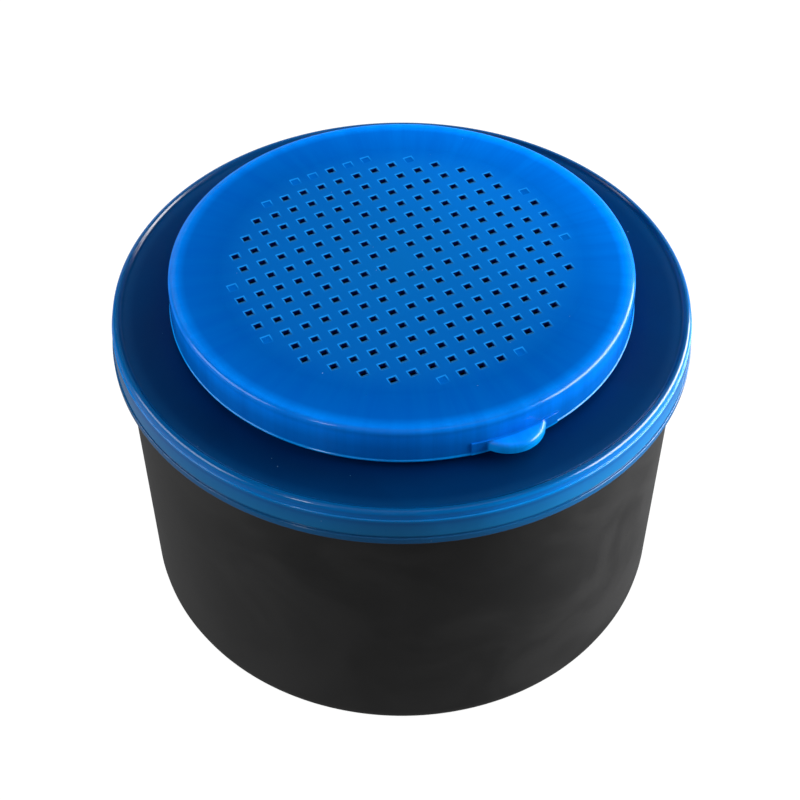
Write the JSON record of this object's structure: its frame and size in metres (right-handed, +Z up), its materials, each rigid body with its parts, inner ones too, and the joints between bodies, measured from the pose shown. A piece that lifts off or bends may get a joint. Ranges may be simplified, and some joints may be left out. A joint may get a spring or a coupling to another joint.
{
  "type": "bait tub",
  "caption": "Round bait tub: black pot, blue ring lid that clicks over its rim, and a small perforated cap with a thumb tab over the collar.",
  "frame": {"origin": "centre of the foot ring's underside, on the pot's axis, on the surface that the tub stands on", "axes": "+Z up along the pot's axis; -Y towards the cap's thumb tab; the rows of the hole grid run along X and Y"},
  "size_m": [0.1878, 0.1878, 0.1275],
  "materials": {
    "black_plastic": "satin, faintly mottled",
    "tinted_blue_plastic": "glossy, see-through",
    "bright_blue_plastic": "glossy, slightly see-through"
  },
  "bodies": {
    "tub": {"tub": "black_plastic"},
    "main_lid": {"main_lid": "tinted_blue_plastic"},
    "vent_lid": {"vent_lid": "bright_blue_plastic"}
  },
  "joints": [
    {"name": "main_lid_lift", "type": "slide", "parent": "tub", "child": "main_lid", "axis": [0, 0, 1], "range_m": [0, 0.045]},
    {"name": "vent_lid_lift", "type": "slide", "parent": "main_lid", "child": "vent_lid", "axis": [0, 0, 1], "range_m": [0, 0.03]}
  ]
}
